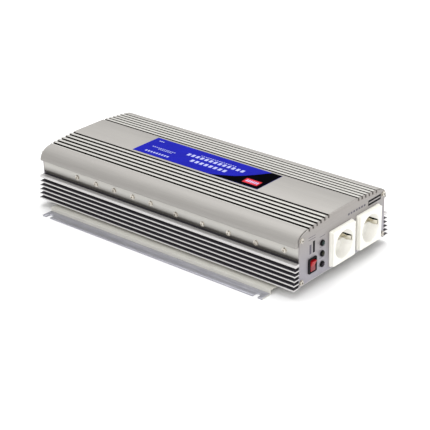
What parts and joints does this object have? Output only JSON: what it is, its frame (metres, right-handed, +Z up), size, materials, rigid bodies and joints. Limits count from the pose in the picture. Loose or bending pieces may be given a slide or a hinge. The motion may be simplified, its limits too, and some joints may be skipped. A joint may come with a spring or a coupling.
{
  "type": "power inverter",
  "caption": "Power inverter in a finned and grooved aluminium case, with earthed mains outlets, rocker switch, rear cooling fans, battery terminals and slotted mounting rails.",
  "frame": {"origin": "centre of the bounding box, on the surface that the mounting rails stand on", "axes": "+Z up, -Y the front with the mains outlets, +Y the rear with fans and battery terminals, +X to the right seen from the front"},
  "size_m": [0.259, 0.4994, 0.0909],
  "materials": {
    "satin_aluminium": "satin anodised extrusion",
    "panel_paint": "fine satin powder coat",
    "zinc_steel": "zinc plated sheet",
    "bright_steel": "bright plated",
    "outlet_ivory": "moulded, half gloss",
    "spring_brass": "nickel plated spring strip",
    "black_plastic": "fine texture moulded",
    "rocker_red": "translucent moulded",
    "lamp_black": "gloss holder with smoked lens",
    "fan_black": "moulded glass-filled nylon",
    "terminal_red": "moulded",
    "brass": "turned",
    "label_blue": "printed polyester film",
    "board_green": "solder mask",
    "ferrite": "sintered ferrite",
    "copper_winding": "taped copper winding",
    "capacitor_sleeve": "shrink sleeve",
    "transistor_black": "moulded package"
  },
  "bodies": {
    "root": {"base_shell": "satin_aluminium", "top_cover": "satin_aluminium", "front_panel": "panel_paint", "rear_panel": "panel_paint", "mounting_rail_left": "zinc_steel", "mounting_rail_right": "zinc_steel", "front_screw_upper_left": "bright_steel", "front_screw_upper_right": "bright_steel", "front_screw_lower_left": "bright_steel", "front_screw_lower_right": "bright_steel", "rear_screw_upper_left": "bright_steel", "rear_screw_upper_right": "bright_steel", "rear_screw_lower_left": "bright_steel", "rear_screw_lower_right": "bright_steel", "outlet_left": "outlet_ivory", "outlet_right": "outlet_ivory", "earth_strap_left": "spring_brass", "earth_strap_right": "spring_brass", "switch_housing": "black_plastic", "indicator_upper": "lamp_black", "indicator_middle": "lamp_black", "indicator_lower": "lamp_black", "fan_frame_left": "fan_black", "fan_guard_left": "bright_steel", "fan_frame_right": "fan_black", "fan_guard_right": "bright_steel", "dc_positive_insulator": "terminal_red", "dc_negative_insulator": "black_plastic", "dc_positive_stud": "brass", "dc_positive_busbar": "brass", "dc_negative_stud": "brass", "dc_negative_busbar": "brass", "ground_screw": "brass", "label_plate": "label_blue", "main_circuit_board": "board_green", "control_board": "board_green", "transformer_core_1": "ferrite", "transformer_winding_1": "copper_winding", "transformer_core_2": "ferrite", "transformer_winding_2": "copper_winding", "transformer_core_3": "ferrite", "transformer_winding_3": "copper_winding", "input_capacitor_1": "capacitor_sleeve", "input_capacitor_2": "capacitor_sleeve", "input_capacitor_3": "capacitor_sleeve", "input_capacitor_4": "capacitor_sleeve", "bulk_capacitor_1": "capacitor_sleeve", "bulk_capacitor_2": "capacitor_sleeve", "transistor_bank_left_rear": "transistor_black", "transistor_bank_left_front": "transistor_black", "transistor_bank_right_rear": "transistor_black", "transistor_bank_right_front": "transistor_black", "output_choke": "copper_winding"},
    "rocker": {"power_rocker": "rocker_red"},
    "fan_wheel_left": {"fan_rotor_left": "fan_black"},
    "fan_wheel_right": {"fan_rotor_right": "fan_black"},
    "positive_washer": {"dc_positive_washer": "bright_steel"},
    "positive_knob": {"dc_positive_knob": "terminal_red"},
    "negative_washer": {"dc_negative_washer": "bright_steel"},
    "negative_knob": {"dc_negative_knob": "black_plastic"}
  },
  "joints": [
    {"name": "rocker_tilt", "type": "hinge", "parent": "root", "child": "rocker", "pos_m": [-0.0674, -0.24135, 0.0343], "axis": [1, 0, 0], "range_deg": [-18, 0]},
    {"name": "fan_spin_left", "type": "hinge", "parent": "root", "child": "fan_wheel_left", "pos_m": [-0.0525, 0.20365, 0.048], "axis": [0, 1, 0], "continuous": true},
    {"name": "fan_spin_right", "type": "hinge", "parent": "root", "child": "fan_wheel_right", "pos_m": [0.0525, 0.20365, 0.048], "axis": [0, 1, 0], "continuous": true},
    {"name": "positive_washer_travel", "type": "slide", "parent": "root", "child": "positive_washer", "axis": [0, 1, 0], "range_m": [0, 0.00375]},
    {"name": "positive_knob_turn", "type": "hinge", "parent": "positive_washer", "child": "positive_knob", "pos_m": [0, 0.23765, 0.0585], "axis": [0, 1, 0], "range_deg": [0, 1080]},
    {"name": "negative_washer_travel", "type": "slide", "parent": "root", "child": "negative_washer", "axis": [0, 1, 0], "range_m": [0, 0.00375]},
    {"name": "negative_knob_turn", "type": "hinge", "parent": "negative_washer", "child": "negative_knob", "pos_m": [0, 0.23765, 0.0329], "axis": [0, 1, 0], "range_deg": [0, 1080]}
  ],
  "couplings": [
    {"joint": "positive_knob_turn", "follows": "positive_washer_travel", "rad_per_m": 5026.5},
    {"joint": "negative_knob_turn", "follows": "negative_washer_travel", "rad_per_m": 5026.5}
  ]
}
